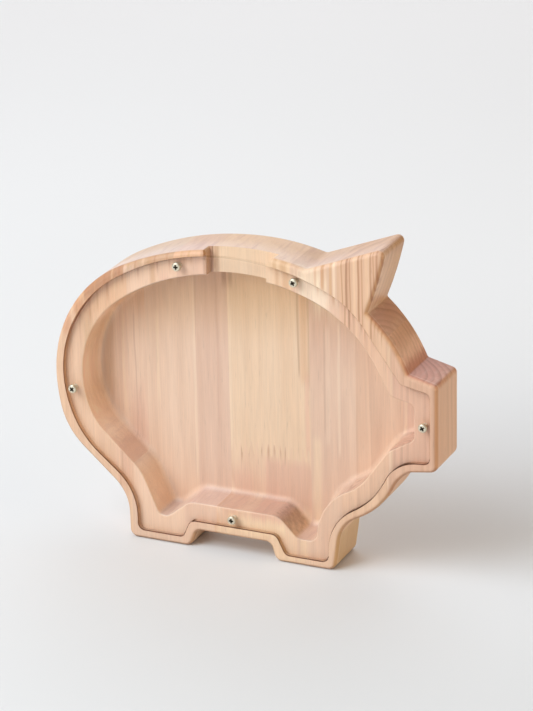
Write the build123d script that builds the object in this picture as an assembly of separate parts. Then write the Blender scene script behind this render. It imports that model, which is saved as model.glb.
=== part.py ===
from build123d import *
from math import cos, radians, sin
import os

# Wooden money box in the shape of a standing pig.
# Frame: +X towards the snout, the window side faces -Y, +Z up, legs stand on Z = 0.
# Outlines are drawn in the X-Z plane, in millimetres.

# ---- driving dimensions --------------------------------------------------
thickness = 30.0            # board thickness, front to back
edge_round = 2.3            # sanded round on the front and back outer edges
window_depth = 3.0          # recess for the window sheet, measured from the front face
panel_thickness = 2.9       # clear window sheet, flush with the front face
panel_gap = 0.45            # gap all round the window sheet
pocket_depth = 22.5         # coin chamber, measured from the front face
pocket_cove = 3.5           # round between the chamber's walls and floor
mouth_round = 0.7           # eased edge of the chamber's mouth on the window ledge
slot_depth = 8.0            # coin slot, measured from the front face
slot_left = -18.8
slot_right = 14.2

head_radius = 2.4           # pan-head screw
head_height = 1.7
shank_radius = 1.3
shank_length = 10.0
tip_length = 2.6
head_round = 0.95
recess_width = 0.95         # cross recess in the head
recess_span = 2.6
recess_depth = 1.2
panel_hole_radius = 1.5
pilot_radius = 1.36
pilot_depth = 8.0           # below the window ledge

glue_lines = [-64.3, -35.6, -17.0, 28.5, 53.8, 79.8]
finger_low = 47.8           # finger joint in the middle stave
finger_high = 54.8
finger_count = 14
finger_tip = 0.6

# Each screw's x, z and the angle at which its cross came to rest.
screw_points = {
    "screw_rump": (-96.3, 79.6, 45),
    "screw_back": (-33.8, 155.3, 4),
    "screw_neck": (30.6, 155.2, 28),
    "screw_snout": (99.4, 87.4, 30),
    "screw_belly": (-6.7, 19.4, 2),
}

# The screw heads stand proud of the front face, so the board sits a little
# behind the frame's centre plane.
front_y = -(thickness + head_height) / 2 + head_height
back_y = front_y + thickness
ledge_y = front_y + window_depth
floor_y = front_y + pocket_depth


# ---- helpers -------------------------------------------------------------
class Path:
    """A smooth chain of straight lines and arcs, drawn from a point along a heading in degrees."""

    def __init__(self, x, z, heading):
        self.point = (x, z)
        self.heading = heading
        self.edges = []

    def ahead(self, distance, angle):
        x, z = self.point
        return (x + distance * cos(radians(angle)), z + distance * sin(radians(angle)))

    def line(self, length):
        end = self.ahead(length, self.heading)
        self.edges.append(Line(self.point, end))
        self.point = end

    def arc(self, radius, sweep):
        """Turn left for a positive sweep and right for a negative one."""
        half = self.ahead(2 * radius * sin(radians(abs(sweep) / 4)), self.heading + sweep / 4)
        end = self.ahead(2 * radius * sin(radians(abs(sweep) / 2)), self.heading + sweep / 2)
        self.edges.append(ThreePointArc(self.point, half, end))
        self.point = end
        self.heading += sweep


def path_face(edges, corners):
    """Close a loop of edges into a face and round the corners listed as (x, z, radius)."""
    face = Face(Wire(edges))
    for x, z, radius in corners:
        corner = face.vertices().sort_by_distance((x, z, 0))[0]
        face = face.fillet_2d(radius, [corner])
    return face


def chain(*points):
    """Straight edges from point to point."""
    return [Line(a, b) for a, b in zip(points[:-1], points[1:])]


def upright(face, y_low, y_high):
    """Stand a flat outline up in the X-Z plane and give it depth from y_low to y_high."""
    standing = Pos(0, y_high, 0) * (Plane.XZ * face)
    return extrude(standing, amount=y_high - y_low, dir=(0, -1, 0))


def along_y(radius, x, z, y_low, y_high):
    """Round bar along Y."""
    return Pos(x, (y_low + y_high) / 2, z) * Rot(90, 0, 0) * Cylinder(radius, y_high - y_low)


# ---- outlines ------------------------------------------------------------
def pig_outline():
    back = Path(-66.6, 0.0, 91.0)
    back.line(14.2)
    back.arc(23.4, 47.1)
    back.line(23.5)
    for radius, sweep in [(40.4, 37.5), (106.9, 7.3), (70.7, 66.7), (156.6, 27.9), (122.9, 14.4)]:
        back.arc(radius, -sweep)
    jaw = Path(50.2, 0.0, 82.0)
    jaw.line(17.4)
    jaw.arc(18.4, -55.6)
    jaw.arc(43.7, 38.0)
    jaw.arc(22.0, -36.7)
    ear_tip = (79.6, 178.7)
    notch = (69.1, 143.4)
    brow = (90.9, 113.8)
    edges = back.edges + chain(back.point, ear_tip)
    edges += [ThreePointArc(ear_tip, (75.2, 161.0), notch)]
    edges += [ThreePointArc(notch, (81.7, 129.9), brow)]
    edges += chain(brow, (106.5, 109.8), (106.5, 63.5), jaw.point) + jaw.edges
    edges += chain(
        (50.2, 0.0), (17.3, 0.0), (14.3, 9.7), (-27.7, 9.7), (-31.4, 0.0), (-66.6, 0.0),
    )
    corners = [
        (*back.point, 4.0), (*ear_tip, 3.0), (*notch, 1.2), (*brow, 1.6),
        (106.5, 109.8, 3.0), (106.5, 63.5, 4.4), (*jaw.point, 3.0), (50.2, 0.0, 4.5),
        (17.3, 0.0, 4.2), (14.3, 9.7, 3.8), (-27.7, 9.7, 3.8), (-31.4, 0.0, 4.5),
        (-66.6, 0.0, 4.2),
    ]
    return path_face(edges, corners)


def window_outline():
    """Edge of the shallow recess that takes the window sheet."""
    back = Path(-61.6, 4.7, 90.0)
    back.line(8.4)
    back.arc(30.4, 49.7)
    back.line(14.2)
    for radius, sweep in [(48.3, 23.1), (62.1, 53.5), (70.9, 31.0), (124.1, 57.0), (48.5, 29.4)]:
        back.arc(radius, -sweep)
    back.line(33.8)
    jaw = Path(47.2, 4.1, 88.0)
    jaw.line(8.6)
    jaw.arc(27.4, -57.4)
    jaw.arc(45.4, 34.6)
    jaw.arc(19.9, -59.1)
    edges = back.edges
    edges += chain(back.point, (103.0, 105.8), (103.0, 67.6), jaw.point)
    edges += jaw.edges
    edges += chain(
        (47.2, 4.1), (22.9, 4.1), (17.7, 14.8), (-30.7, 14.8), (-35.2, 4.7), (-61.6, 4.7),
    )
    corners = [
        (*back.point, 2.4), (103.0, 105.8, 3.2), (103.0, 67.6, 3.6), (47.2, 4.1, 4.2),
        (22.9, 4.1, 3.8), (17.7, 14.8, 4.6), (-30.7, 14.8, 4.6), (-35.2, 4.7, 3.6),
        (-61.6, 4.7, 3.8),
    ]
    return path_face(edges, corners)


def pocket_outline():
    """Mouth of the coin chamber at the window ledge."""
    back = Path(-50.2, 13.9, 113.0)
    back.line(20.6)
    back.arc(22.1, 23.8)
    back.line(23.2)
    for radius, sweep in [(33.3, 27.2), (53.6, 72.9), (114.4, 54.5), (70.8, 45.4)]:
        back.arc(radius, -sweep)
    back.line(13.1)
    jaw = Path(39.0, 13.3, 84.0)
    jaw.line(6.4)
    jaw.arc(30.7, -57.7)
    jaw.arc(28.4, 28.5)
    jaw.line(20.6)
    edges = back.edges + chain(back.point, (93.3, 97.4), (93.3, 78.2), jaw.point) + jaw.edges
    edges += chain(
        (39.0, 13.3), (28.4, 13.3), (18.2, 24.1), (-32.2, 24.1), (-45.2, 13.9), (-50.2, 13.9),
    )
    corners = [
        (*back.point, 3.0), (93.3, 97.4, 4.4), (93.3, 78.2, 4.4), (*jaw.point, 4.0),
        (39.0, 13.3, 4.2), (28.4, 13.3, 5.0), (18.2, 24.1, 10.0), (-32.2, 24.1, 9.0),
        (-45.2, 13.9, 4.6), (-50.2, 13.9, 3.7),
    ]
    return path_face(edges, corners)


def slot_outline():
    """Coin slot: straight at the tail end, flared at the top on the head end."""
    bottom = 140.0
    top = 175.0
    pieces = chain((slot_left, bottom), (slot_left, 163.6))
    pieces += [ThreePointArc((slot_left, 163.6), (-19.3, 164.9), (-20.6, 166.0))]
    pieces += chain((-20.6, 166.0), (-20.6, top), (23.0, top), (23.0, 166.8))
    pieces += [ThreePointArc((23.0, 166.8), (17.4, 164.6), (slot_right, 159.6))]
    pieces += chain((slot_right, 159.6), (slot_right, bottom), (slot_left, bottom))
    return path_face(pieces, [])


# ---- board ---------------------------------------------------------------
def pocket_cutter():
    """Chamber space with a coved floor."""
    cutter = upright(pocket_outline(), front_y - 5, floor_y)
    floor_edges = cutter.faces().sort_by(Axis.Y)[-1].edges()
    return fillet(floor_edges, pocket_cove)


def whole_board():
    """The glued-up board with its window recess, coin chamber, slot and pilot holes."""
    board = upright(pig_outline(), front_y, back_y)
    faces = board.faces().sort_by(Axis.Y)
    rims = faces[0].edges() + faces[-1].edges()
    board = fillet(rims, edge_round)
    board -= upright(window_outline(), front_y - 5, ledge_y)
    board -= pocket_cutter()
    ledge = board.faces().filter_by(Plane.XZ).sort_by(lambda face: abs(face.center().Y - ledge_y))[0]
    board = fillet(ledge.inner_wires()[0].edges(), mouth_round)
    board -= upright(slot_outline(), front_y - 5, front_y + slot_depth)
    for x, z, _ in screw_points.values():
        board -= along_y(pilot_radius, x, z, front_y, ledge_y + pilot_depth)
    return board


def finger_line():
    """Zigzag line of the finger joint across the middle stave."""
    left = glue_lines[2]
    right = glue_lines[3]
    pitch = (right - left) / finger_count
    slope = (pitch - 2 * finger_tip) / 2
    points = []
    for i in range(finger_count):
        x = left + i * pitch
        points.append((x, finger_low))
        points.append((x + finger_tip, finger_low))
        points.append((x + finger_tip + slope, finger_high))
        points.append((x + 2 * finger_tip + slope, finger_high))
    points.append((right, finger_low))
    return points


def between(board, left, right):
    """The part of the board between two glue lines."""
    width = right - left
    slab = Pos(left + width / 2, (front_y + back_y) / 2, 90) * Box(width, 60, 240)
    return board & slab


def split_at_fingers(stave):
    """Cut the middle stave into its upper and lower pieces at the finger joint."""
    zigzag = finger_line()
    left = zigzag[0][0]
    right = zigzag[-1][0]
    edges = chain(*zigzag) + chain(zigzag[-1], (right, -10.0), (left, -10.0), zigzag[0])
    below = upright(path_face(edges, []), front_y - 5, back_y + 5)
    return stave - below, stave & below


# ---- window and screws ---------------------------------------------------
def window_panel():
    sheet = offset(window_outline(), amount=-panel_gap, kind=Kind.ARC)
    panel = upright(sheet.faces()[0], front_y, front_y + panel_thickness)
    for x, z, _ in screw_points.values():
        panel -= along_y(panel_hole_radius, x, z, front_y - 1, ledge_y + 1)
    return panel


def screw(x, z, angle):
    """Pan-head screw with a cross recess, driven in along +Y."""
    head = Cylinder(head_radius, head_height, align=(Align.CENTER, Align.CENTER, Align.MIN))
    rim = head.edges().filter_by(GeomType.CIRCLE).sort_by(Axis.Z)[-1]
    head = fillet(rim, head_round)
    arm = Box(
        recess_span, recess_width, recess_depth,
        align=(Align.CENTER, Align.CENTER, Align.MAX),
    )
    for turn in (angle, angle + 90):
        head -= Pos(0, 0, head_height) * Rot(0, 0, turn) * arm
    straight = shank_length - tip_length
    shank = Pos(0, 0, -straight / 2) * Cylinder(shank_radius, straight)
    tip = Pos(0, 0, -straight - tip_length / 2) * Cone(0.15, shank_radius, tip_length)
    body = head + shank + tip
    return Pos(x, front_y, z) * Rot(90, 0, 0) * body


# ---- build ---------------------------------------------------------------
def build():
    board = whole_board()
    ends = [-120.0] + glue_lines + [120.0]
    names = [
        "stave_tail", "stave_rump", "stave_back", "stave_middle",
        "stave_shoulder", "stave_ear", "stave_snout",
    ]
    parts = {}
    for name, left, right in zip(names, ends[:-1], ends[1:]):
        parts[name] = between(board, left, right)
    upper, lower = split_at_fingers(parts.pop("stave_middle"))
    parts["stave_middle_upper"] = upper
    parts["stave_middle_lower"] = lower
    parts["window_panel"] = window_panel()
    for name, (x, z, angle) in screw_points.items():
        parts[name] = screw(x, z, angle)
    return parts


os.makedirs("parts", exist_ok=True)
for node, shape in build().items():
    solids = shape.solids()
    print(node, len(solids), "solid(s)", round(shape.volume, 1), "mm3")
    export_step(shape, f"parts/{node}.step")
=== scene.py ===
"""Looks of the wooden pig money box: sanded glued boards, a clear window sheet and five small screws."""

import math

import bpy
from mathutils import Matrix, Vector


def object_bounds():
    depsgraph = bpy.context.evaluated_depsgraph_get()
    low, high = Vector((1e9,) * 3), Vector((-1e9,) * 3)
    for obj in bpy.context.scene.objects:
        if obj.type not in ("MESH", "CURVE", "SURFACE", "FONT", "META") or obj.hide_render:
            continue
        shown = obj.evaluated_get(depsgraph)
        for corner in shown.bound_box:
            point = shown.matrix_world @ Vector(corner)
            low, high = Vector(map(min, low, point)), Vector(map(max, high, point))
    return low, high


MM = 0.001

# Places on the object, in mm.
FRONT_Y = -14.15            # front face of the boards
LEDGE_Y = -11.15            # ledge that the window sheet lies on
FLOOR_Y = 8.35              # floor of the coin chamber
MIDDLE_X = 5.0              # middle of the outline
MIDDLE_Z = 85.0
FOREHEAD_Z = 115.0          # height round which the forehead's growth rings arch
SLOT_EDGE_X = (24, 26)      # the coin slot's surroundings start between these, to each side,
SLOT_EDGE_Z = (145, 147)    # and upwards between these
LIP_END = (FRONT_Y + 2.4, FRONT_Y + 2.8)        # the front lip's tint fades out between these
GAP_SHADE_END = (FRONT_Y + 0.9, FRONT_Y + 1.2)        # and the brown line round the sheet, painted shade of the gap, between these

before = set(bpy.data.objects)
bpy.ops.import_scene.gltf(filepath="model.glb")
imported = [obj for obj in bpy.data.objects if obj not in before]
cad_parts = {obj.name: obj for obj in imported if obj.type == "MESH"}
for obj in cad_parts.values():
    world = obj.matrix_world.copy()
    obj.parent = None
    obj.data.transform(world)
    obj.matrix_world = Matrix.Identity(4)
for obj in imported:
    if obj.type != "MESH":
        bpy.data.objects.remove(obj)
cad_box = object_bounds()
SCREWS = sorted(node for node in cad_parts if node.startswith("screw_"))


# ---- node helper ---------------------------------------------------------
def linear(red, green, blue):
    """A colour given as 0 to 255 display values, as scene-linear RGBA."""
    def one(value):
        value /= 255
        return value / 12.92 if value <= 0.04045 else ((value + 0.055) / 1.055) ** 2.4
    return (one(red), one(green), one(blue), 1.0)


class Tree:
    """Short names for the shader nodes that the materials use."""

    def __init__(self, name):
        self.material = bpy.data.materials.new(name)
        self.material.use_nodes = True
        self.nodes = self.material.node_tree.nodes
        self.links = self.material.node_tree.links
        self.nodes.clear()

    def add(self, kind, inputs=None, **settings):
        node = self.nodes.new(kind)
        for key, value in settings.items():
            setattr(node, key, value)
        for key, value in (inputs or {}).items():
            self.plug(node.inputs[key], value)
        return node

    def plug(self, socket, value):
        if isinstance(value, bpy.types.NodeSocket):
            self.links.new(value, socket)
        else:
            socket.default_value = value

    def math(self, operation, first, second=0.0, third=0.0):
        return self.add("ShaderNodeMath", {0: first, 1: second, 2: third}, operation=operation).outputs[0]

    def both(self, first, second):
        """Two masks multiplied."""
        return self.math("MULTIPLY", first, second)

    def inverse(self, mask):
        return self.math("SUBTRACT", 1.0, mask)

    def stretch(self, point, x, y, z, shift=0.0):
        """The point scaled along each axis, moved by a seed shift."""
        inputs = {0: point, 1: (x, y, z), 2: (shift, shift * 1.7, shift * 0.6)}
        return self.add("ShaderNodeVectorMath", inputs, operation="MULTIPLY_ADD").outputs[0]

    def noise(self, point, detail=2.0, roughness=0.5):
        inputs = {"Vector": point, "Scale": 1.0, "Detail": detail, "Roughness": roughness}
        return self.add("ShaderNodeTexNoise", inputs).outputs[0]

    def span(self, value, low, high, to_low=0.0, to_high=1.0, smooth=True):
        """Map low..high to to_low..to_high, clamped."""
        kind = "SMOOTHSTEP" if smooth else "LINEAR"
        inputs = {0: value, 1: low, 2: high, 3: to_low, 4: to_high}
        return self.add("ShaderNodeMapRange", inputs, interpolation_type=kind).outputs[0]

    def below(self, value, low, high):
        """1 up to low, falling to 0 at high."""
        return self.span(value, low, high, 1.0, 0.0)

    def mix(self, factor, first, second, blend="MIX"):
        node = self.add("ShaderNodeMix", data_type="RGBA", blend_type=blend)
        self.plug(node.inputs[0], factor)
        self.plug(node.inputs[6], first)
        self.plug(node.inputs[7], second)
        return node.outputs[2]

    def tint(self, mask, colour, by):
        """The colour, multiplied by another where the mask is 1."""
        return self.mix(mask, colour, self.mix(1.0, colour, by, "MULTIPLY"))

    def finish(self, shader):
        self.add("ShaderNodeOutputMaterial", {"Surface": shader})
        return self.material


class Surface:
    """Where a shaded point lies on the object, in mm, and which way the surface faces there."""

    def __init__(self, tree):
        point = tree.add("ShaderNodeTexCoord").outputs["Object"]
        scaled = tree.add("ShaderNodeVectorMath", {0: point, "Scale": 1 / MM}, operation="SCALE")
        self.point = scaled.outputs[0]
        self.x, self.y, self.z = tree.add("ShaderNodeSeparateXYZ", {0: self.point}).outputs
        normal = tree.add("ShaderNodeTexCoord").outputs["Normal"]
        self.to_x, self.to_y, self.to_z = tree.add("ShaderNodeSeparateXYZ", {0: normal}).outputs
        self.flat = tree.math("ABSOLUTE", self.to_y)       # 1 on the front, the back and the floors


# ---- wood ----------------------------------------------------------------
# Each noise's rate of change along x, y and z, per mm, and what it adds to the board's seed.
NOISES = {
    "sway": (0.02, 0.02, 0.006, 0.0), "uneven": (0.05, 0.05, 0.01, 3.0), "broad": (0.13, 0.09, 0.010, 5.0),
    "fibre": (1.5, 1.5, 0.045, 9.0), "grain": (0.42, 0.42, 0.014, 13.0), "fleck": (1.9, 1.9, 0.12, 17.0),
    "sawn": (0.45, 0.06, 0.25, 21.0),
}
RING_SWAY = 3.0             # mm that the growth rings wander to each side
RING_UNEVENNESS = 1.1       # rings by which their spacing varies
STREAK_SWAY = 0.8           # mm that a streak wanders to each side
STREAK_FADE = 4             # mm over which it fades at each end, to each side of the end
SAWN_BROWN = (0.60, 0.36, 0.29, 1)
# Painted shade towards the chamber's top.
CHAMBER_TOP_SHADE = (0.90, 0.82, 0.68, 1)
# Painted shade on the front's outer rounding: sideways, facing down and facing up.
ROUNDING_SHADE = (0.90, 0.82, 0.72, 1)
ROUNDING_SHADE_BELOW = (0.68, 0.58, 0.50, 1)
ROUNDING_SHADE_ABOVE = (1.0, 0.97, 0.93, 1)
# Painted highlight along the edge of the chamber's mouth.
MOUTH_HIGHLIGHT = linear(255, 232, 202)
# Painted shade in the gap round the window sheet.
GAP_SHADE_BROWN = linear(140, 76, 52)


def wood_noise(tree, here, board, kind, detail=2.0, roughness=0.5):
    x, y, z, seed = NOISES[kind]
    return tree.noise(tree.stretch(here.point, x, y, z, board["seed"] + seed), detail, roughness)


def ring_bands(tree, here, board, end_grain):
    """Growth rings round an upright pith line, as 0 (early wood) to 1 (late wood).

    A board's end_lean makes them arch across its end grain, round the forehead's height.
    """
    sway = tree.math("MULTIPLY_ADD", wood_noise(tree, here, board, "sway"), 2 * RING_SWAY, -RING_SWAY)
    across = tree.math("SUBTRACT", here.x, board["pith"][0])
    lean = tree.math("MULTIPLY", tree.math("SUBTRACT", here.z, FOREHEAD_Z), board["end_lean"])
    across = tree.math("ADD", tree.math("MULTIPLY_ADD", lean, end_grain, across), sway)
    depth = tree.math("SUBTRACT", here.y, board["pith"][1])
    radius = tree.math("SQRT", tree.math("ADD", tree.math("POWER", across, 2), tree.math("POWER", depth, 2)))
    uneven = wood_noise(tree, here, board, "uneven", 1.0)
    wave = tree.math("MULTIPLY_ADD", uneven, RING_UNEVENNESS, tree.math("DIVIDE", radius, board["spacing"]))
    place = tree.math("FRACT", wave)
    band = tree.both(tree.span(place, 0.25, 0.88), tree.below(place, 0.90, 1.0))    # slow rise, sharp end
    number = tree.math("ADD", tree.math("FLOOR", wave), board["seed"])
    chance = tree.add("ShaderNodeTexWhiteNoise", {"W": number}, noise_dimensions="1D").outputs["Value"]
    return tree.both(band, tree.span(chance, 0.1, 1.0, 0.25, 1.0, smooth=False))


def streak_mask(tree, here, streak):
    """One upright stripe, as its place across, width, lower end, upper end and lean in mm."""
    centre, width, low, high, lean = streak
    drift = tree.noise(tree.stretch(here.point, 0.0, 0.01, 0.03, centre), 1.0)
    offset = tree.math("SUBTRACT", here.x, centre + STREAK_SWAY)
    offset = tree.math("MULTIPLY_ADD", drift, 2 * STREAK_SWAY, offset)
    offset = tree.math("MULTIPLY_ADD", tree.math("SUBTRACT", here.z, low), -lean, offset)
    inside = tree.below(tree.math("ABSOLUTE", offset), 0.2 * width, 0.8 * width)
    above = tree.span(here.z, low - STREAK_FADE, low + STREAK_FADE)
    below = tree.below(here.z, high - STREAK_FADE, high + STREAK_FADE)
    return tree.both(inside, tree.both(above, below))


def patch_mask(tree, here, patch):
    """A soft area of other tone, as its middle x and z, half width, half height and softness in mm.

    Its edge is three times as soft along the grain as across it.
    """
    x, z, half_width, half_height, soft = patch
    ragged = tree.noise(tree.stretch(here.point, 0.5, 0.5, 0.05, x), 2.0)
    ragged = tree.math("MULTIPLY_ADD", ragged, 2 * soft, -soft)
    across = tree.math("ADD", tree.math("ABSOLUTE", tree.math("SUBTRACT", here.x, x)), ragged)
    along = tree.math("ABSOLUTE", tree.math("SUBTRACT", here.z, z))
    along = tree.math("MULTIPLY_ADD", ragged, 3.0, along)
    return tree.both(tree.below(across, half_width - soft, half_width + soft),
                     tree.below(along, half_height - 3 * soft, half_height + 3 * soft))


def paint(tree, here, colour, marks, mask_of, where):
    """Paint a board's streaks or patches over the colour, each by its own strength."""
    for mark, mark_colour, strength in marks:
        mask = tree.both(mask_of(tree, here, mark), where)
        colour = tree.mix(tree.both(mask, strength), colour, mark_colour)
    return colour


def outwardness(tree, here):
    """Above 0 where a side faces away from the middle of the outline and below 0 where it faces inwards."""
    off_x = tree.math("SUBTRACT", here.x, MIDDLE_X)
    off_z = tree.math("SUBTRACT", here.z, MIDDLE_Z)
    return tree.math("ADD", tree.math("MULTIPLY", here.to_x, off_x), tree.math("MULTIPLY", here.to_z, off_z))


def front_part(tree, here):
    """1 on the front face and in the chamber, fading to 0 on the outer sides and the back."""
    rim = tree.both(tree.span(outwardness(tree, here), 5, 25), tree.span(here.y, FRONT_Y + 2, FRONT_Y + 8))
    behind = tree.span(here.y, FLOOR_Y + 1, FLOOR_Y + 3)
    return tree.inverse(tree.math("MAXIMUM", rim, behind))


def timber_and_side_shading(tree, here, board, end_grain, rings, lip):
    """A board's colour: its grain, patches and streaks and darker end grain, with painted light and shade on
    its sides.
    """
    along = tree.inverse(end_grain)
    shown = front_part(tree, here)
    broad = tree.span(wood_noise(tree, here, board, "broad"), 0.30, 0.70)
    colour = tree.mix(broad, board["light"], board["warm"])
    colour = paint(tree, here, colour, board["patches"], patch_mask, shown)
    colour = paint(tree, here, colour, board["lip_patches"], patch_mask, lip)
    # Side patches are partly tone and partly painted shade and light, on the ear tip, forehead and snout top.
    colour = paint(tree, here, colour, board["side_tone_and_shade_patches"], patch_mask, tree.below(here.flat, 0.3, 0.8))
    ring_strength = tree.math("MULTIPLY_ADD", along, board["ring"] - board["end_ring"], board["end_ring"])
    colour = tree.mix(tree.both(rings, ring_strength), colour, board["dark"])
    line = tree.span(wood_noise(tree, here, board, "grain"), 0.50, 0.72, 0.0, board["line"])
    colour = tree.mix(tree.both(line, along), colour, board["dark"])
    sawn = tree.span(wood_noise(tree, here, board, "sawn", 3.0, 0.6), 0.42, 0.75, 0.0, 0.45)
    colour = tree.mix(tree.both(end_grain, sawn), colour, SAWN_BROWN)
    colour = paint(tree, here, colour, board["streaks"], streak_mask, tree.both(along, shown))
    colour = tree.tint(end_grain, colour, board["end"])
    # Painted light and shade on surfaces facing the snout's side (+X): warmer, and darker on most boards,
    # lighter on the tail and rump where they face into the chamber.
    return tree.tint(tree.span(here.to_x, 0.35, 0.8), colour, board["side"])


def painted_light_and_lip_tint(tree, here, board, colour, lip):
    """Painted shade and light on the routed chamber, ledge and sanded front edge, and the front lip's tint.
    """
    # Painted shade: the chamber is darker and warmer towards its top. Painted highlight: the edge of its
    # mouth is lighter.
    inside = tree.span(here.y, LEDGE_Y + 3, FLOOR_Y - 1)
    upper = tree.span(tree.math("MULTIPLY_ADD", here.x, -0.12, here.z), 104, 142)
    colour = tree.tint(tree.both(inside, upper), colour, CHAMBER_TOP_SHADE)
    # Painted light on the ledge: lighter on most boards, darker at the tail.
    ledge = tree.both(tree.span(here.y, LEDGE_Y - 0.2, LEDGE_Y - 0.05),
                      tree.below(here.y, LEDGE_Y + 0.05, LEDGE_Y + 0.2))
    colour = tree.tint(ledge, colour, board["ledge"])
    # Painted highlight on the mouth's rounded edge.
    mouth_highlight = tree.both(tree.span(here.y, LEDGE_Y + 0.05, LEDGE_Y + 0.15),
                      tree.below(here.y, LEDGE_Y + 0.55, LEDGE_Y + 0.75))
    colour = tree.mix(tree.both(mouth_highlight, 0.2), colour, MOUTH_HIGHLIGHT)

    # Painted shade: the outer rounding of the front is darker than the flat lip, most of all where it faces
    # down, and only a little where it faces up.
    rounding = tree.both(tree.below(here.flat, 0.80, 0.99), tree.below(here.y, FRONT_Y + 2.2, FRONT_Y + 3.0))
    shade = tree.mix(tree.below(here.to_z, -0.5, -0.05), ROUNDING_SHADE, ROUNDING_SHADE_BELOW)
    shade = tree.mix(tree.span(here.to_z, 0.05, 0.25), shade, ROUNDING_SHADE_ABOVE)
    colour = tree.tint(rounding, colour, shade)
    return tree.tint(lip, colour, board["lip"])


def painted_gap_shade(tree, here, colour):
    """Painted shade: darken the rabbet's walls near the front, for the shadow in the narrow gap round the
    sheet, outside the coin slot.
    """
    walls = tree.both(tree.below(outwardness(tree, here), -8, -3), tree.below(here.flat, 0.2, 0.4))
    jaw = tree.both(tree.below(here.to_x, -0.5, -0.3), tree.span(here.to_z, 0.3, 0.5))
    depth = tree.math("SUBTRACT", here.y, tree.math("MULTIPLY", jaw, 1.5))
    slot = tree.both(tree.span(here.z, *SLOT_EDGE_Z), tree.below(tree.math("ABSOLUTE", here.x), *SLOT_EDGE_X))
    gap = tree.both(tree.both(walls, tree.below(depth, *GAP_SHADE_END)), tree.inverse(slot))
    strength = tree.span(here.to_x, 0.2, 0.7, 0.9, 0.55)
    return tree.mix(tree.both(gap, strength), colour, GAP_SHADE_BROWN)


def wood(name, board):
    """Sanded light wood with upright grain: rings, fibres, vessel flecks and darker end grain."""
    tree = Tree(name)
    here = Surface(tree)
    end_grain = tree.span(tree.math("ABSOLUTE", here.to_z), 0.35, 0.95)
    end_grain = tree.both(end_grain, tree.span(here.y, FRONT_Y + 1.4, FRONT_Y + 2.4))
    lip = tree.below(here.y, *LIP_END)
    rings = ring_bands(tree, here, board, end_grain)
    fibre = wood_noise(tree, here, board, "fibre", 3.0, 0.6)
    fleck = wood_noise(tree, here, board, "fleck", 1.0)

    colour = timber_and_side_shading(tree, here, board, end_grain, rings, lip)
    colour = painted_light_and_lip_tint(tree, here, board, colour, lip)
    colour = painted_gap_shade(tree, here, colour)
    # Fibres are lighter and darker by 6%, and vessels darker by 10%.
    tone = tree.span(fibre, 0.25, 0.75, 0.935, 1.06, smooth=False)
    tone = tree.math("MULTIPLY", tone, tree.span(fleck, 0.66, 0.76, 1.0, 0.9))
    grey = tree.add("ShaderNodeCombineColor", {0: tone, 1: tone, 2: tone}).outputs[0]
    colour = tree.mix(1.0, colour, grey, "MULTIPLY")

    height = tree.math("MULTIPLY_ADD", fibre, 0.5, tree.math("MULTIPLY", rings, -0.35))
    height = tree.math("MULTIPLY_ADD", tree.span(fleck, 0.66, 0.76), -0.4, height)
    bump = tree.add("ShaderNodeBump", {"Height": height, "Strength": 0.18, "Distance": 0.1 * MM})
    roughness = tree.math("MULTIPLY_ADD", fibre, 0.14, 0.36)
    shader = tree.add("ShaderNodeBsdfPrincipled", {
        "Base Color": colour, "Roughness": roughness, "Normal": bump.outputs[0],
        "IOR": 1.5, "Specular IOR Level": 0.5,
    })
    return tree.finish(shader.outputs[0])


def board(light, warm, dark, seed, pith, spacing, ring=0.3, end_ring=0.12, line=0.09, end_lean=0.0,
          streaks=(), patches=(), lip_patches=(), side_tone_and_shade_patches=(),
          lip=(1.0, 0.96, 0.90), end=(0.90, 0.90, 0.93), side=(0.98, 0.93, 0.76), ledge=(1.06, 1.01, 0.97)):
    """One stave's timber. Colours are display values, and pith and spacing are in mm.

    ring, end_ring and line say how strong the rings are along and across the grain, and the fine lines.
    patches lie on the front and in the chamber, lip_patches on the front lip and side_tone_and_shade_patches
    on all sides, some as tone and some as painted shade and light. lip and end are tints of the front lip and
    end grain; side is painted light and shade on surfaces facing the snout's side, and ledge is painted light
    and shade on the ledge.
    """
    marks = {"streaks": streaks, "patches": patches, "lip_patches": lip_patches, "side_tone_and_shade_patches": side_tone_and_shade_patches}
    tints = {"lip": lip, "end": end, "side": side, "ledge": ledge}
    return {
        "light": linear(*light), "warm": linear(*warm), "dark": linear(*dark), "seed": seed,
        "pith": pith, "spacing": spacing, "ring": ring, "end_ring": end_ring, "line": line,
        "end_lean": end_lean,
        **{key: (*tint, 1.0) for key, tint in tints.items()},
        **{key: [(where, linear(*shade), strength) for where, shade, strength in rows]
           for key, rows in marks.items()},
    }


# Display values of the marks' usual colours.
BROWN = (176, 124, 88)
FLECK = (190, 136, 98)
TAN = (214, 168, 126)
SALMON = (212, 146, 110)
PINK = (226, 178, 156)
CREAM = (246, 218, 184)
PALE = (252, 228, 204)

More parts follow.
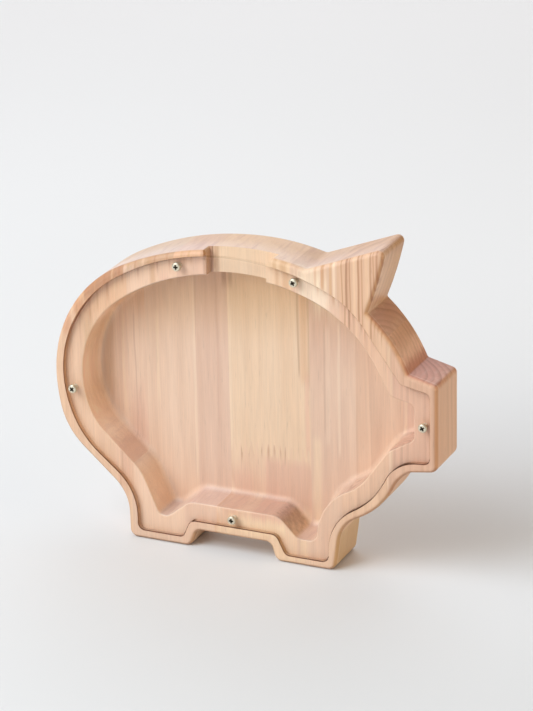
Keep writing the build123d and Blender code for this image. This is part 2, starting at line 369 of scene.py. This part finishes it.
# A streak is its place across, width, lower end, upper end and lean; a patch is its middle's x and z, half
# width, half height and softness, all in mm. Each has its colour and strength.
BOARDS = {
    "stave_tail": board(
        (243, 210, 184), (236, 199, 172), (210, 168, 138), 1.0, (-160.0, 30.0), 5.2, ring=0.2,
        streaks=[
            ((-70.8, 0.9, 20, 118, 0.0), (204, 160, 134), 0.45), ((-77.3, 1.4, 60, 118, 0.0), CREAM, 0.3),
            ((-66.5, 1.3, 142, 170, 0.0), (198, 140, 106), 0.5), ((-71.0, 1.0, 136, 170, 0.0), CREAM, 0.4),
            ((-75.5, 1.4, 132, 170, 0.0), (198, 140, 106), 0.5),
            ((-81.0, 1.0, 124, 170, 0.0), (214, 166, 130), 0.5),
            ((-86.0, 1.2, 118, 170, 0.0), (206, 150, 118), 0.45),
            ((-92.0, 1.0, 104, 150, 0.0), (216, 170, 136), 0.4),
        ],
        patches=[
            ((-78.0, 134.0, 16.0, 14.0, 2.0), (236, 190, 150), 0.5),
            ((-69.0, 52.0, 5.0, 20.0, 4.0), PINK, 0.55),
            ((-87.0, 95.0, 4.0, 26.0, 2.5), (214, 176, 138), 0.6),
        ],
        lip_patches=[
            ((-76.0, 146.0, 12.0, 15.0, 1.5), (190, 136, 106), 0.75),
            ((-91.0, 126.0, 3.0, 5.0, 1.2), SALMON, 0.5), ((-98.0, 116.0, 2.5, 5.0, 1.2), SALMON, 0.5),
        ],
        side_tone_and_shade_patches=[((-68.0, 42.0, 8.0, 18.0, 4.0), (204, 160, 132), 0.5)],
        lip=(0.93, 0.87, 0.79), ledge=(0.99, 0.92, 0.84),
        end=(0.90, 0.96, 1.06), side=(1.22, 1.20, 1.10),
    ),
    "stave_rump": board(
        (240, 207, 181), (236, 201, 174), (212, 170, 142), 2.0, (-120.0, 60.0), 6.0, ring=0.16,
        streaks=[
            ((-49.0, 3.0, 138, 178, 0.0), TAN, 0.6), ((-42.2, 5.0, 138, 150, 0.0), PINK, 0.4),
            ((-36.4, 1.2, 30, 140, 0.0), PALE, 0.3), ((-57.6, 1.6, 70, 120, 0.0), CREAM, 0.3),
            ((-61.5, 1.4, 150, 178, 0.0), TAN, 0.5), ((-46.5, 1.0, 150, 178, 0.0), (200, 142, 108), 0.5),
            ((-53.0, 1.6, 148, 178, 0.0), CREAM, 0.4), ((-57.5, 1.1, 146, 178, 0.0), (206, 152, 118), 0.5),
            ((-39.5, 1.2, 152, 178, 0.0), (208, 156, 120), 0.5),
        ],
        lip_patches=[((-50.0, 160.0, 16.0, 8.0, 1.0), (212, 168, 130), 0.75)], lip=(0.90, 0.86, 0.84),
        end=(0.88, 0.94, 1.05), side=(1.10, 1.08, 1.0),
    ),
    "stave_back": board(
        (235, 200, 176), (229, 192, 168), (206, 162, 136), 3.0, (-90.0, 50.0), 5.5, ring=0.2,
        streaks=[
            ((-18.6, 3.0, 140, 178, 0.0), BROWN, 0.5), ((-17.2, 0.9, 160, 178, 0.0), (140, 92, 62), 0.6),
            ((-23.1, 1.0, 60, 140, 0.0), (214, 170, 146), 0.4),
            ((-33.5, 2.4, 20, 110, 0.0), (224, 184, 158), 0.5),
            ((-27.0, 1.2, 158, 178, 0.0), TAN, 0.6), ((-31.0, 1.2, 158, 178, 0.0), TAN, 0.4),
        ],
        lip_patches=[((-27.0, 163.0, 10.0, 8.0, 1.0), (226, 178, 140), 0.7)],
        end=(0.94, 0.97, 1.06),
    ),
    "stave_middle_upper": board(
        (241, 210, 179), (238, 204, 171), (214, 172, 134), 4.0, (90.0, 80.0), 8.0, ring=0.15, line=0.08,
        streaks=[
            ((-15.2, 2.6, 140, 178, 0.0), BROWN, 0.4), ((22.4, 1.1, 96, 150, 0.0), BROWN, 0.4),
            ((25.4, 4.0, 92, 150, 0.0), (222, 172, 128), 0.5), ((28.0, 1.6, 90, 150, 0.0), BROWN, 0.3),
            ((27.0, 2.6, 48, 96, 0.0), (232, 184, 158), 0.5), ((-16.4, 1.4, 48, 140, 0.0), PALE, 0.25),
            ((20.0, 2.0, 148, 178, 0.0), TAN, 0.5), ((25.0, 3.6, 148, 178, 0.0), TAN, 0.6),
        ],
        end=(0.94, 0.94, 1.04),
    ),
    "stave_middle_lower": board(
        (241, 209, 179), (237, 202, 171), (212, 168, 136), 5.0, (-70.0, 60.0), 9.0, ring=0.14, line=0.08,
        streaks=[
            ((-17.0, 5.0, 22, 58, -0.22), PALE, 0.5), ((-10.6, 1.1, 43, 54, 0.0), FLECK, 0.5),
            ((-6.8, 0.9, 48, 54, 0.0), FLECK, 0.45), ((-3.6, 0.9, 49, 54, 0.0), FLECK, 0.45),
            ((0.4, 0.9, 48, 54, 0.0), FLECK, 0.5), ((4.2, 1.2, 47, 54, 0.0), FLECK, 0.55),
            ((7.9, 1.1, 49, 54, 0.0), FLECK, 0.5), ((11.2, 0.9, 48, 54, 0.0), FLECK, 0.45),
            ((14.0, 0.9, 47, 54, 0.0), FLECK, 0.5),
        ],
        patches=[
            ((16.0, 33.0, 13.0, 13.0, 1.4), (229, 184, 160), 0.75),
            ((-2.0, 30.0, 12.0, 10.0, 5.0), PINK, 0.45),
            ((-12.0, 29.0, 7.0, 9.0, 2.0), PINK, 0.4),
            ((-22.0, 14.0, 6.0, 20.0, 1.2), (226, 172, 130), 0.4),
            ((6.0, 17.0, 16.0, 3.0, 1.0), (250, 222, 188), 0.8),
        ],
        side_tone_and_shade_patches=[((21.5, 21.0, 5.5, 5.0, 3.0), (150, 112, 98), 0.6)],
        end=(0.86, 0.84, 0.86),
    ),
    "stave_shoulder": board(
        (236, 202, 176), (229, 193, 168), (202, 158, 132), 6.0, (120.0, 60.0), 6.0, ring=0.24,
        streaks=[
            ((46.0, 1.8, 152, 178, 0.0), (206, 144, 96), 0.6), ((50.4, 1.4, 146, 178, 0.0), TAN, 0.6),
            ((52.0, 1.2, 146, 178, 0.0), PALE, 0.6), ((42.0, 1.2, 150, 178, 0.0), (222, 170, 126), 0.4),
            ((32.0, 4.6, 0, 62, 0.0), CREAM, 0.5), ((44.6, 1.4, 55, 128, 0.0), PALE, 0.4),
            ((36.6, 1.0, 66, 124, 0.0), (196, 156, 130), 0.4), ((38.5, 2.6, 60, 124, 0.0), PALE, 0.25),
        ],
        patches=[
            ((40.0, 118.0, 12.0, 14.0, 4.0), (222, 180, 154), 0.5),
            # Painted light on the ledge below the shoulder, where the lip's shadow falls.
            ((39.0, 148.0, 8.0, 14.0, 3.0), (255, 236, 212), 0.8),
        ],
        side=(0.92, 0.84, 0.58),
    ),
    "stave_ear": board(
        (236, 198, 169), (229, 189, 160), (178, 124, 94), 7.0, (78.0, -19.0), 5.2,
        ring=0.26, end_ring=0.75, end_lean=-1.0,
        streaks=[
            ((52.6, 0.9, 40, 66, 0.0), (150, 108, 84), 0.5),
            ((56.3, 0.7, 130, 184, 0.0), (186, 128, 90), 0.5),
            ((59.0, 1.1, 132, 184, 0.0), (160, 102, 68), 0.6),
            ((60.7, 0.6, 140, 184, 0.0), (176, 118, 82), 0.5),
            ((63.0, 1.4, 126, 184, 0.0), (246, 210, 178), 0.5),
            ((65.4, 1.0, 134, 184, 0.0), (176, 116, 80), 0.6),
            ((67.4, 0.7, 130, 184, 0.0), (190, 132, 96), 0.5),
            ((69.5, 1.6, 120, 184, 0.0), (244, 206, 172), 0.4),
            ((71.6, 0.9, 128, 184, 0.0), (176, 118, 82), 0.55),
            ((73.5, 0.6, 134, 184, 0.0), (190, 134, 98), 0.5),
            ((75.5, 1.0, 136, 184, 0.0), (180, 122, 88), 0.55),
            ((77.6, 0.7, 130, 184, 0.0), (192, 138, 104), 0.5),
        ],
        patches=[((66.0, 46.0, 12.0, 14.0, 3.0), (240, 204, 176), 0.5)],
        side_tone_and_shade_patches=[
            # Painted shade on the ear tip's right-hand top and near the notch between ear and forehead.
            ((86.0, 172.0, 8.0, 6.0, 3.0), (170, 116, 84), 0.6),
            ((76.0, 139.0, 6.0, 8.0, 2.0), (206, 142, 120), 0.6),
        ],
        side=(1.04, 0.98, 0.84),
    ),
    "stave_snout": board(
        (231, 191, 166), (225, 183, 158), (156, 100, 76), 8.0, (82.0, -10.0), 3.2, ring=0.2,
        streaks=[((81.0, 1.6, 60, 130, 0.0), CREAM, 0.4), ((79.4, 2.4, 52, 74, 0.0), PALE, 0.4)],
        side_tone_and_shade_patches=[
            # Painted light low on the forehead, painted shade up near the notch, and the head's painted
            # shadow on the snout top.
            ((92.0, 119.0, 8.0, 9.0, 3.0), (248, 206, 188), 0.8),
            ((81.0, 129.0, 4.0, 6.0, 2.0), (216, 166, 144), 0.5),
            ((97.0, 114.0, 14.0, 4.5, 1.0), (204, 142, 122), 0.9),
        ],
        end_ring=0.55, end=(0.90, 0.87, 0.86), side=(1.06, 0.94, 0.74),
    ),
}


# ---- clear sheet and screws ----------------------------------------------
def screw_axis(node):
    """The x and z of a screw's axis and the y of its head's top, in mm."""
    corners = [Vector(corner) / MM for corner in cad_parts[node].bound_box]
    x = sum(corner.x for corner in corners) / 8
    z = sum(corner.z for corner in corners) / 8
    return x, z, min(corner.y for corner in corners)


def radius_from(tree, here, x, z):
    """Distance in mm from a line that runs along Y through x, z."""
    off_x = tree.math("POWER", tree.math("SUBTRACT", here.x, x), 2)
    off_z = tree.math("POWER", tree.math("SUBTRACT", here.z, z), 2)
    return tree.math("SQRT", tree.math("ADD", off_x, off_z))


def outside_holes(tree, here):
    """0 on the walls of the sheet's screw holes and 1 elsewhere."""
    mask = 1.0
    for node in SCREWS:
        x, z, _ = screw_axis(node)
        mask = tree.both(mask, tree.span(radius_from(tree, here, x, z), 2.0, 3.0))
    return mask


def clear_sheet():
    """Polished acrylic. The front of its sawn edge is brown, partly its own colour and partly painted shade
    of the gap round it, darker below as painted shade, and its holes are frosted.
    """
    tree = Tree("clear_acrylic")
    here = Surface(tree)
    haze = tree.noise(tree.stretch(here.point, 0.05, 0.05, 0.05, 2.0), 2.0)
    gloss = tree.add("ShaderNodeBsdfGlossy", {
        "Color": (1, 1, 1, 1), "Roughness": tree.span(haze, 0.3, 0.7, 0.02, 0.06),
    })
    through = tree.add("ShaderNodeBsdfTransparent", {"Color": (1.0, 1.0, 1.0, 1)})
    facing = tree.add("ShaderNodeLayerWeight", {"Blend": 0.5}).outputs["Facing"]
    mirror = tree.math("MULTIPLY_ADD", tree.math("POWER", facing, 5.0), 0.45, 0.014)
    face = tree.add("ShaderNodeMixShader", {0: mirror, 1: through.outputs[0], 2: gloss.outputs[0]})

    # How much of the edge's front band is brown, as sawn-edge colour and painted shade of the gap round it:
    # nearly all below, most at the tail, little elsewhere.
    down = tree.below(here.to_z, -0.75, -0.1)
    left = tree.below(here.to_x, -0.9, -0.3)
    cover = tree.math("MAXIMUM", tree.math("MULTIPLY", down, 0.95), tree.math("MULTIPLY", left, 0.65))
    cover = tree.math("MAXIMUM", cover, tree.span(here.to_x, -0.35, -0.2, 0.35, 0.05))
    jaw = tree.both(tree.span(here.to_x, 0.1, 0.4), tree.below(here.to_z, -0.4, -0.1))
    front = tree.below(tree.math("MULTIPLY_ADD", jaw, -2.0, here.y), *GAP_SHADE_END)
    away = outside_holes(tree, here)
    cover = tree.both(tree.both(cover, front), away)
    cover = tree.math("MULTIPLY_ADD", tree.inverse(away), 0.85, cover)
    brown = tree.mix(left, linear(178, 122, 86), linear(158, 102, 70))
    brown = tree.mix(down, brown, linear(126, 62, 42))
    brown = tree.mix(away, linear(240, 228, 204), brown)
    sawn = tree.add("ShaderNodeBsdfPrincipled", {"Base Color": brown, "Roughness": 0.6})
    head_side = tree.both(tree.span(here.to_x, -0.2, 0.1), tree.span(here.to_z, -0.3, 0.0))
    clear_tint = tree.mix(head_side, (0.84, 0.81, 0.77, 1), (0.95, 0.94, 0.92, 1))
    clear = tree.add("ShaderNodeBsdfTransparent", {"Color": clear_tint})
    edge = tree.add("ShaderNodeMixShader", {0: cover, 1: clear.outputs[0], 2: sawn.outputs[0]})
    edge_mask = tree.below(here.flat, 0.4, 0.6)
    shader = tree.add("ShaderNodeMixShader", {0: edge_mask, 1: face.outputs[0], 2: edge.outputs[0]})
    return tree.finish(shader.outputs[0])


def bright_steel(node):
    """Zinc-plated screw steel with faint turning marks, with painted shade down in the cross recess."""
    tree = Tree("zinc_" + node)
    here = Surface(tree)
    axis_x, axis_z, top_y = screw_axis(node)
    radius = radius_from(tree, here, axis_x, axis_z)
    spots = tree.noise(tree.stretch(here.point, 2.5, 2.5, 2.5, 4.0), 3.0)
    colour = tree.mix(tree.span(spots, 0.35, 0.7), linear(238, 230, 210), linear(216, 206, 184))
    colour = tree.mix(tree.span(radius, 1.7, 2.35, 0.0, 0.55), colour, linear(184, 166, 134))
    # Painted shade down in the cross recess.
    recess_shade = tree.both(tree.span(here.y, top_y + 0.08, top_y + 0.3), tree.below(radius, 1.42, 1.5))
    colour = tree.mix(tree.both(recess_shade, 0.95), colour, linear(62, 50, 34))
    turning = tree.math("SINE", tree.math("MULTIPLY", radius, 40.0))
    height = tree.math("MULTIPLY_ADD", turning, 0.12, spots)
    bump = tree.add("ShaderNodeBump", {"Height": height, "Strength": 0.12, "Distance": 0.05 * MM})
    shader = tree.add("ShaderNodeBsdfPrincipled", {
        "Base Color": colour, "Normal": bump.outputs[0],
        "Roughness": tree.span(spots, 0.3, 0.7, 0.36, 0.5),
        "Metallic": tree.span(here.y, FRONT_Y - 0.1, FRONT_Y + 0.1, 0.75, 0.2),     # head, then shank
    })
    return tree.finish(shader.outputs[0])


def dress(node, material):
    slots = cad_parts[node].data.materials
    slots.clear()
    slots.append(material)


for node, timber in BOARDS.items():
    dress(node, wood("wood_" + node, timber))
dress("window_panel", clear_sheet())
for node in SCREWS:
    dress(node, bright_steel(node))


# ---- studio --------------------------------------------------------------
# Each light's azimuth and elevation in degrees, distance and size in metres, power in watts, and colour.
SOFTBOXES = {
    "key": (-42.0, 48.0, 1.6, 1.1, 21.4, (0.80, 0.90, 1.0)),
    "front_left": (-25.0, 25.0, 1.8, 1.0, 8.9, (1.0, 0.97, 0.90)),
    "back": (204.0, 24.0, 2.0, 2.0, 11.6, (0.93, 0.93, 1.0)),
    "right": (85.0, 15.0, 2.0, 1.2, 8.4, (1.0, 0.91, 0.78)),
    "sky": (180.0, 58.0, 3.0, 2.5, 22.0, (0.92, 0.95, 1.0)),
}
FLOOR_HALF = 6.0            # metres from the middle of the floor to its edge


def pale_floor():
    """A plain pale floor, a little lighter behind the object."""
    half = FLOOR_HALF
    mesh = bpy.data.meshes.new("floor")
    corners = [(-half, -half, 0), (half, -half, 0), (half, half, 0), (-half, half, 0)]
    mesh.from_pydata(corners, [], [(0, 1, 2, 3)])
    floor = bpy.data.objects.new("floor", mesh)
    bpy.context.scene.collection.objects.link(floor)
    tree = Tree("floor_paint")
    here = Surface(tree)
    mottle = tree.noise(tree.stretch(here.point, 0.004, 0.004, 0.004), 2.0)
    near = tree.mix(mottle, linear(224, 223, 222), linear(227, 226, 225))
    far = tree.mix(mottle, linear(244, 243, 242), linear(246, 245, 244))
    colour = tree.mix(tree.span(here.y, -250.0, 600.0), near, far)
    shader = tree.add("ShaderNodeBsdfPrincipled", {
        "Base Color": colour, "Roughness": 0.8, "Specular IOR Level": 0.2,
    })
    mesh.materials.append(tree.finish(shader.outputs[0]))


def direction(azimuth, elevation):
    """Unit vector from the object: azimuth 0 is in front (-Y) and 90 is at the snout's side (+X)."""
    a = math.radians(azimuth)
    e = math.radians(elevation)
    return Vector((math.sin(a) * math.cos(e), -math.cos(a) * math.cos(e), math.sin(e)))


def softbox(name, azimuth, elevation, distance, size, power, colour):
    """A square area light on a sphere round the middle of the object, aimed at it."""
    lamp = bpy.data.lights.new(name, "AREA")
    lamp.shape = "SQUARE"
    lamp.size = size
    lamp.energy = power
    lamp.color = colour
    holder = bpy.data.objects.new(name, lamp)
    bpy.context.scene.collection.objects.link(holder)
    holder.visible_camera = False
    low, high = cad_box
    away = direction(azimuth, elevation)
    holder.location = (low + high) / 2 + away * distance
    holder.rotation_euler = away.to_track_quat("Z", "Y").to_euler()


def studio():
    """Soft lights and a faint warm surrounding."""
    world = bpy.data.worlds.new("studio")
    bpy.context.scene.world = world
    world.use_nodes = True
    background = world.node_tree.nodes["Background"]
    background.inputs["Color"].default_value = (1.0, 0.90, 0.76, 1.0)
    background.inputs["Strength"].default_value = 0.222
    for name, settings in SOFTBOXES.items():
        softbox(name, *settings)
    bpy.context.scene.view_settings.view_transform = "Standard"


def camera():
    """A long lens from the front right, above the object."""
    azimuth, elevation, roll = 24.6, 21.63, -1.28
    distance = 1.6106
    aim = Vector((14.8, -14.15, 113.9)) * MM
    focal_pixels, long_side = 3200.0, 711.0
    data = bpy.data.cameras.new("camera")
    data.sensor_width = 36.0
    data.lens = focal_pixels / long_side * data.sensor_width
    data.clip_start = 0.05
    holder = bpy.data.objects.new("camera", data)
    bpy.context.scene.collection.objects.link(holder)
    away = direction(azimuth, elevation)
    turn = away.to_track_quat("Z", "Y").to_matrix() @ Matrix.Rotation(math.radians(roll), 3, "Z")
    holder.rotation_euler = turn.to_euler()
    holder.location = aim + away * distance
    bpy.context.scene.camera = holder


pale_floor()
studio()
camera()
